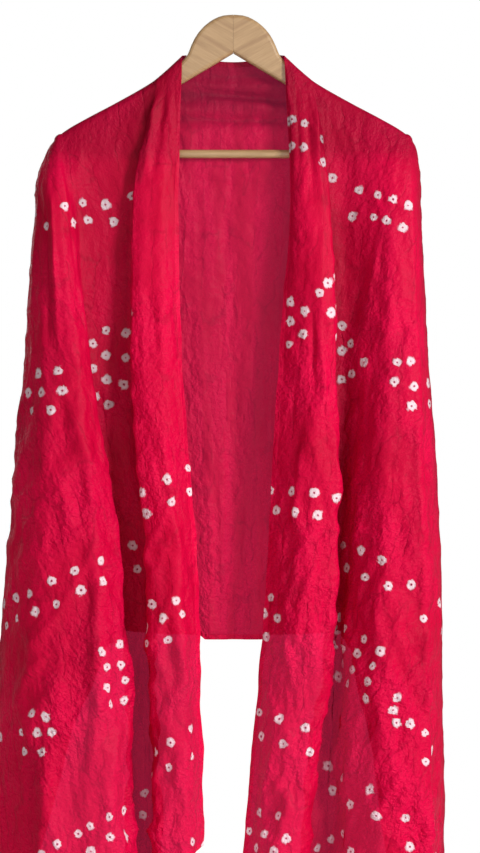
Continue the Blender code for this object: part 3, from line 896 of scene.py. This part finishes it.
def lacquered_wood(name, settings, tilt):
    """Beech under a clear satin lacquer: fine straight grain along the arm, short dark flecks."""
    made, tree = new_material(name)
    place = node(tree, "ShaderNodeTexCoord").outputs["Object"]
    turned = node(tree, "ShaderNodeMapping", {"Vector": place, "Rotation": (0, tilt, 0)})
    long_grain = node(tree, "ShaderNodeMapping", {"Vector": turned.outputs[0],
                                                  "Scale": (1.0, 8.0, 14.0)})
    grain = node(tree, "ShaderNodeTexNoise", {"Vector": long_grain.outputs[0], "Scale": 16.0,
                                              "Detail": 5.0, "Roughness": 0.6})
    flecks_at = node(tree, "ShaderNodeMapping", {"Vector": turned.outputs[0],
                                                 "Scale": (90.0, 900.0, 900.0)})
    flecks = node(tree, "ShaderNodeTexNoise", {"Vector": flecks_at.outputs[0], "Scale": 1.0,
                                               "Detail": 2.0})
    base = ramp(tree, grain.outputs["Fac"], [(0.3, hex_colour(settings.wood_dark)),
                                             (0.52, hex_colour(settings.wood_mid)),
                                             (0.72, hex_colour(settings.wood_light))])
    fleck_share = ramp(tree, flecks.outputs["Fac"], [(0.62, (0, 0, 0, 1)), (0.75, (1, 1, 1, 1))])
    dimmed = node(tree, "ShaderNodeMath", {0: fleck_share, 1: 0.35}, operation="MULTIPLY")
    colour = node(tree, "ShaderNodeMix", {0: dimmed.outputs[0], 6: base,
                                          7: hex_colour(settings.wood_dark)}, data_type="RGBA")
    bump = node(tree, "ShaderNodeBump", {"Height": grain.outputs["Fac"], "Strength": 0.12,
                                         "Distance": 0.0005})
    body = node(tree, "ShaderNodeBsdfPrincipled", {
        "Base Color": colour.outputs[2], "Roughness": 0.42, "Coat Weight": 0.25,
        "Coat Roughness": 0.25, "Normal": bump.outputs["Normal"]})
    node(tree, "ShaderNodeOutputMaterial", {"Surface": body.outputs[0]})
    return made


class BandhaniSettings(bpy.types.PropertyGroup):
    """Sizes and colours of the cloth and the hanger"""
    half_length: bpy.props.FloatProperty(
        name="Half length", description="From the middle of the cloth to one end",
        default=1.25, unit="LENGTH")
    width: bpy.props.FloatProperty(
        name="Width", description="Width of the flat cloth", default=0.84, unit="LENGTH")
    dark_red: bpy.props.StringProperty(
        name="Dark red", description="Deeper dye, sRGB hex", default="d3003a")
    light_red: bpy.props.StringProperty(
        name="Light red", description="Paler dye, sRGB hex", default="ea0549")
    seen_through: bpy.props.StringProperty(
        name="Seen through", description="Tint of what shows through the weave, sRGB hex",
        default="a02c52")
    ring_pale: bpy.props.StringProperty(
        name="Ring, pale", description="Cloth that the dye didn't reach, sRGB hex",
        default="fbe4ea")
    ring_pink: bpy.props.StringProperty(
        name="Ring, pink", description="Where a little dye got in, sRGB hex", default="e2879c")
    ring_speck: bpy.props.StringProperty(
        name="Ring, speck", description="Speck of dye in a ring's middle, sRGB hex",
        default="7c1238")
    wood_dark: bpy.props.StringProperty(
        name="Wood, dark", description="Darker grain, sRGB hex", default="846340")
    wood_mid: bpy.props.StringProperty(
        name="Wood, middle", description="Main wood colour, sRGB hex", default="93744e")
    wood_light: bpy.props.StringProperty(
        name="Wood, light", description="Lighter grain, sRGB hex", default="a1805a")
    glue: bpy.props.StringProperty(
        name="Glue line", description="Seam of the hanger, sRGB hex", default="6e4f36")
    floor: bpy.props.StringProperty(
        name="Floor", description="Pale floor, sRGB hex", default="f6f6f6")


class BANDHANI_OT_cloth(bpy.types.Operator):
    """Drape the tie-dyed cloth over the hanger"""
    bl_idname = "bandhani.cloth"
    bl_label = "Cloth"

    def execute(self, context):
        settings = context.scene.bandhani
        half_length = settings.half_length / MM
        width = settings.width / MM
        left = half_lines(LEFT_FOLDS, LEFT_CASCADE, "left", half_length)
        right = half_lines(RIGHT_FOLDS, RIGHT_CASCADE, "right", half_length)

        grids = {side: side_grid(lines, side, sign)
                 for sign, lines, side in ((-1, left, "left"), (1, right, "right"))}
        everywhere = [np.concatenate([grid[k].reshape(-1, size) for grid in grids.values()])
                      for k, size in ((1, 2), (0, 3))]
        rings = set_rings(ring_centres(width, half_length), *everywhere)
        bm = bmesh.new()
        columns = sheet_columns(bm, {"left": left, "right": right}, grids)
        sheet_faces(bm, columns, rings)
        bmesh.ops.recalc_face_normals(bm, faces=bm.faces)
        piece = add_piece(bm, "draped_cloth", dyed_cloth(settings))
        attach(piece, "root")
        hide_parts("cloth")
        return {"FINISHED"}


class BANDHANI_OT_hanger(bpy.types.Operator):
    """Give the hanger's arms and bar their lacquered wood"""
    bl_idname = "bandhani.hanger"
    bl_label = "Hanger"

    def execute(self, context):
        settings = context.scene.bandhani
        slope = math.radians(29)
        finishes = {
            "arm_left": lacquered_wood("lacquered beech left", settings, -slope),
            "arm_right": lacquered_wood("lacquered beech right", settings, slope),
            "bar": lacquered_wood("lacquered beech bar", settings, 0.0),
        }
        for name, finish in finishes.items():
            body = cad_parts[name]
            body.data.materials.clear()
            body.data.materials.append(finish)
        return {"FINISHED"}


class BANDHANI_OT_glue(bpy.types.Operator):
    """Fill the seam between the hanger's arms with a line of glue"""
    bl_idname = "bandhani.glue"
    bl_label = "Glue line"

    def execute(self, context):
        bm = bmesh.new()
        bmesh.ops.create_cube(bm, size=1.0)
        bmesh.ops.scale(bm, vec=(GLUE_WIDTH * MM, GLUE_DEPTH * MM, GLUE_HEIGHT * MM),
                        verts=bm.verts)
        bmesh.ops.translate(bm, vec=(0, 0, GLUE_MIDDLE_Z * MM), verts=bm.verts)
        glue = plain_finish("dried wood glue", context.scene.bandhani.glue, 0.6, 0.5)
        piece = add_piece(bm, "glue_line", glue)
        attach(piece, "root")
        return {"FINISHED"}


# Stage sizes, in metres
FLOOR_DROP = 0.03
FLOOR_HALF = 1.9

# Light: where each lamp stands and its size, in metres, and its power in watts
ROOM_LIGHT = 0.36
Lamp = namedtuple("Lamp", "name place size power")
LIGHTS = (
    Lamp("key", (2.2, -2.0, 0.5), 0.8, 122),
    Lamp("fill", (-0.5, -3.2, -0.2), 2.0, 30),
    Lamp("back", (-1.4, 2.6, 0.5), 1.6, 26),
)

# Camera: the photograph's frame is 853 px high at 1.25 mm a pixel in the hanger's plane
FRAME_HEIGHT = 853 * 1.25 * MM
FRAME_CENTRE = ((240 - 233.3) * 1.25 * MM, (14.8 - 426.5) * 1.25 * MM)
CAMERA_DISTANCE = 3.6
SENSOR = 0.036


class BANDHANI_OT_stage(bpy.types.Operator):
    """Set a pale floor, a white room, soft lights and the camera"""
    bl_idname = "bandhani.stage"
    bl_label = "Stage"

    def execute(self, context):
        scene = context.scene
        settings = scene.bandhani
        floor_z = CAD_BOX[0][2] - FLOOR_DROP

        bm = bmesh.new()
        bmesh.ops.create_grid(bm, x_segments=1, y_segments=1, size=FLOOR_HALF)
        bmesh.ops.translate(bm, verts=bm.verts, vec=(0, 0, floor_z))
        floor = add_piece(bm, "floor", plain_finish("pale floor", settings.floor, 0.9, 0.0))

        # The room looks white but lights the cloth softly, so that its folds keep their shade
        room = bpy.data.worlds.new("soft room")
        room.use_nodes = True
        tree = room.node_tree
        tree.nodes.clear()
        seen = node(tree, "ShaderNodeLightPath").outputs["Is Camera Ray"]
        soft = node(tree, "ShaderNodeBackground", {"Color": (1, 1, 1, 1),
                                                   "Strength": ROOM_LIGHT})
        white = node(tree, "ShaderNodeBackground", {"Color": (1, 1, 1, 1), "Strength": 1.0})
        both = node(tree, "ShaderNodeMixShader", {0: seen, 1: soft.outputs[0],
                                                  2: white.outputs[0]})
        node(tree, "ShaderNodeOutputWorld", {"Surface": both.outputs[0]})
        scene.world = room
        for light in LIGHTS:
            add_light(light)

        view = bpy.data.cameras.new("camera")
        view.sensor_fit = "VERTICAL"
        view.sensor_height = SENSOR * 1000
        view.lens = SENSOR * 1000 * CAMERA_DISTANCE / FRAME_HEIGHT
        camera = bpy.data.objects.new("camera", view)
        camera.location = (FRAME_CENTRE[0], -CAMERA_DISTANCE, FRAME_CENTRE[1])
        camera.rotation_euler = (math.pi / 2, 0, 0)
        scene.collection.objects.link(camera)
        scene.camera = camera
        scene.view_settings.view_transform = "Standard"
        return {"FINISHED"}


def add_light(lamp):
    """A square area light that faces the middle of the cloth."""
    light = bpy.data.lights.new(lamp.name, "AREA")
    light.size = lamp.size
    light.energy = lamp.power
    holder = bpy.data.objects.new(lamp.name, light)
    holder.location = lamp.place
    aim = Vector((0, 0, FRAME_CENTRE[1])) - Vector(lamp.place)
    holder.rotation_euler = aim.to_track_quat("-Z", "Y").to_euler()
    bpy.context.scene.collection.objects.link(holder)


class BANDHANI_PT_panel(bpy.types.Panel):
    """Lists the settings and the steps"""
    bl_idname = "BANDHANI_PT_panel"
    bl_label = "Bandhani cloth"
    bl_space_type = "VIEW_3D"
    bl_region_type = "UI"
    bl_category = "Bandhani"

    def draw(self, context):
        settings = context.scene.bandhani
        for name in settings.bl_rna.properties.keys():
            if name not in ("rna_type", "name"):
                self.layout.prop(settings, name)
        for step in STEPS:
            self.layout.operator(step.bl_idname)


STEPS = (BANDHANI_OT_cloth, BANDHANI_OT_hanger, BANDHANI_OT_glue, BANDHANI_OT_stage)
CLASSES = (BandhaniSettings, *STEPS, BANDHANI_PT_panel)


def register():
    for made in CLASSES:
        bpy.utils.register_class(made)
    bpy.types.Scene.bandhani = bpy.props.PointerProperty(type=BandhaniSettings)


def unregister():
    del bpy.types.Scene.bandhani
    for made in reversed(CLASSES):
        bpy.utils.unregister_class(made)


def main():
    register()
    bpy.ops.bandhani.cloth()
    bpy.ops.bandhani.hanger()
    bpy.ops.bandhani.glue()
    bpy.ops.bandhani.stage()


if __name__ == "__main__":
    main()
